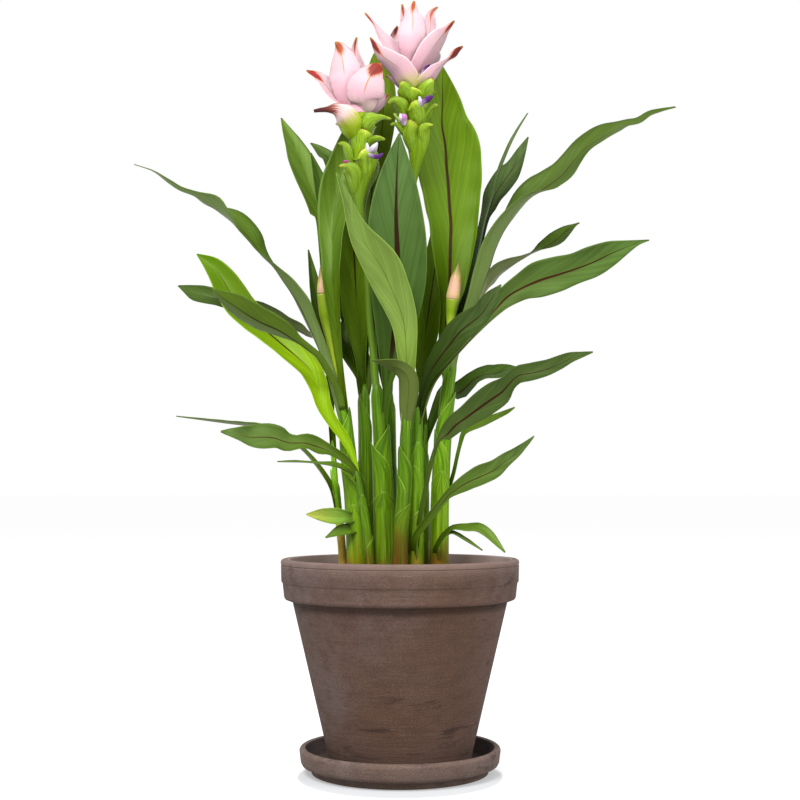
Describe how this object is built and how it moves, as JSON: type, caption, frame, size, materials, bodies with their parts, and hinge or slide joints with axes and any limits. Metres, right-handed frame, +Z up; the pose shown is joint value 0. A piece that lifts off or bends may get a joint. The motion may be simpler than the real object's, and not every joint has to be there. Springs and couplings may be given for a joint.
{
  "type": "potted siam tulip",
  "caption": "Leafy flowering house plant with cone-shaped pink and green flower heads, in a collared clay pot on a clay saucer.",
  "frame": {"origin": "centre of the saucer's flat underside, on the surface that it stands on", "axes": "+Z up through the pot's axis; the pictured front faces -Y, with +X to its right"},
  "size_m": [0.4865, 0.2834, 0.6917],
  "materials": {
    "clay": "matte unglazed mocha brown clay",
    "soil": "dark crumbly potting soil",
    "leaf": "satin mid green leaf with a dark midrib",
    "green_bract": "satin lime green bract",
    "pink_bract": "soft pale pink bract",
    "bud_tip": "soft cream and pink bud tip"
  },
  "bodies": {
    "root": {"saucer": "clay", "pot": "clay", "soil": "soil", "shoot_far_left": "leaf", "shoot_left": "leaf", "shoot_left_front": "leaf", "shoot_left_rear": "leaf", "shoot_middle": "leaf", "shoot_rear": "leaf", "shoot_front": "leaf", "shoot_middle_rear": "leaf", "shoot_right_front": "leaf", "shoot_right_rear": "leaf", "shoot_right": "leaf", "bloom_left_green": "green_bract", "bloom_left_pink": "pink_bract", "bloom_right_green": "green_bract", "bloom_right_pink": "pink_bract", "bud_left_green": "green_bract", "bud_left_tip": "bud_tip", "bud_right_green": "green_bract", "bud_right_tip": "bud_tip"}
  },
  "joints": []
}
